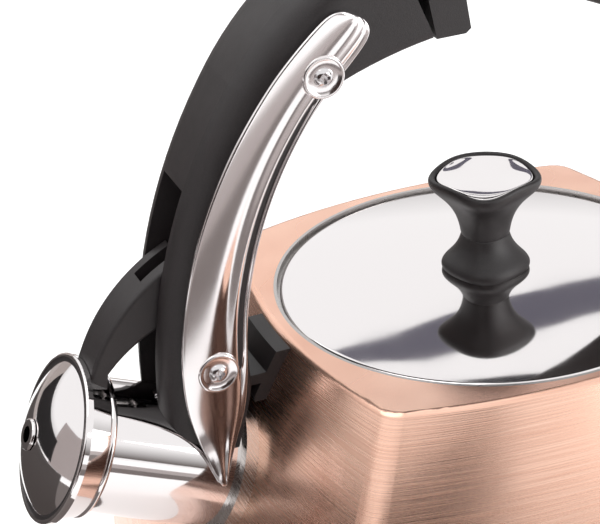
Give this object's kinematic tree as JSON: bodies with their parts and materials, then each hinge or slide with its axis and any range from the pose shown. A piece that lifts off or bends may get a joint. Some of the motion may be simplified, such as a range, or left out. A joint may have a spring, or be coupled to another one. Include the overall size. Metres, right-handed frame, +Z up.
{
  "type": "stovetop whistling kettle",
  "caption": "Square-shouldered stovetop kettle with a C-shaped handle, a lift-off domed lid with a square knob, and a whistling spout cap that a trigger in the handle swings open",
  "frame": {"origin": "centre of the flat underside of the base disc, on the table", "axes": "+Z up, -X towards the spout's mouth, XZ the plane of symmetry of everything but the knob"},
  "size_m": [0.2479, 0.212, 0.2432],
  "materials": {
    "coated_steel": "glossy copper-coloured coating over steel sheet",
    "polished_steel": "mirror-polished stainless steel",
    "satin_steel": "stainless steel brushed around the spout",
    "bare_steel": "plain stainless steel",
    "screw_steel": "bright plated screws",
    "black_nylon": "fine-grained black nylon",
    "seal_rubber": "soft grey silicone"
  },
  "bodies": {
    "root": {"body_shell": "coated_steel", "base_pan": "coated_steel", "base_disc": "bare_steel", "lid_seat_ring": "bare_steel", "spout_tube": "polished_steel", "spout_collar": "satin_steel", "handle_frame": "black_nylon", "handle_cover": "black_nylon", "side_strap_left": "polished_steel", "side_strap_right": "polished_steel", "strap_screw_upper_left": "screw_steel", "strap_screw_upper_right": "screw_steel", "strap_screw_lower_left": "screw_steel", "strap_screw_lower_right": "screw_steel", "leg_screw": "screw_steel", "mount_bracket": "black_nylon", "arm_pin": "bare_steel", "trigger_pin": "bare_steel"},
    "spout_cap": {"spout_arm": "black_nylon", "cap_skirt": "polished_steel", "cap_groove_ring": "black_nylon", "cap_dome": "polished_steel", "whistle_eyelet": "polished_steel", "whistle_plate": "bare_steel", "cap_seal": "seal_rubber", "rod_pin_front": "bare_steel"},
    "rod": {"pull_rod": "bare_steel"},
    "trigger_lever": {"trigger": "black_nylon", "rod_pin_rear": "bare_steel", "trigger_spring": "bare_steel"},
    "lid": {"lid_cover": "polished_steel", "lid_skirt": "polished_steel", "lid_gasket": "seal_rubber", "knob_foot": "black_nylon", "knob_grip": "black_nylon", "knob_inlay": "polished_steel", "knob_screw": "screw_steel", "lid_washer": "bare_steel"}
  },
  "joints": [
    {"name": "cap_hinge", "type": "hinge", "parent": "root", "child": "spout_cap", "pos_m": [-0.087, 0, 0.1357], "axis": [0, 1, 0], "range_deg": [0, 30], "stiffness_Nm_per_rad": 0.02, "springref_deg": -28.65},
    {"name": "rod_swing", "type": "hinge", "parent": "root", "child": "rod", "pos_m": [0.01386, 0, 0.12714], "axis": [0, 1, 0], "range_deg": [0, 1.3]},
    {"name": "trigger_hinge", "type": "hinge", "parent": "root", "child": "trigger_lever", "pos_m": [0.002, 0, 0.2197], "axis": [0, 1, 0], "range_deg": [0, 10.6], "deforming": ["trigger_spring"]},
    {"name": "lid_lift", "type": "slide", "parent": "root", "child": "lid", "axis": [0, 0, 1], "range_m": [0, 0.035]}
  ],
  "couplings": [
    {"joint": "rod_swing", "follows": "cap_hinge", "ratio": 0.0412},
    {"joint": "trigger_hinge", "follows": "cap_hinge", "ratio": 0.35}
  ]
}
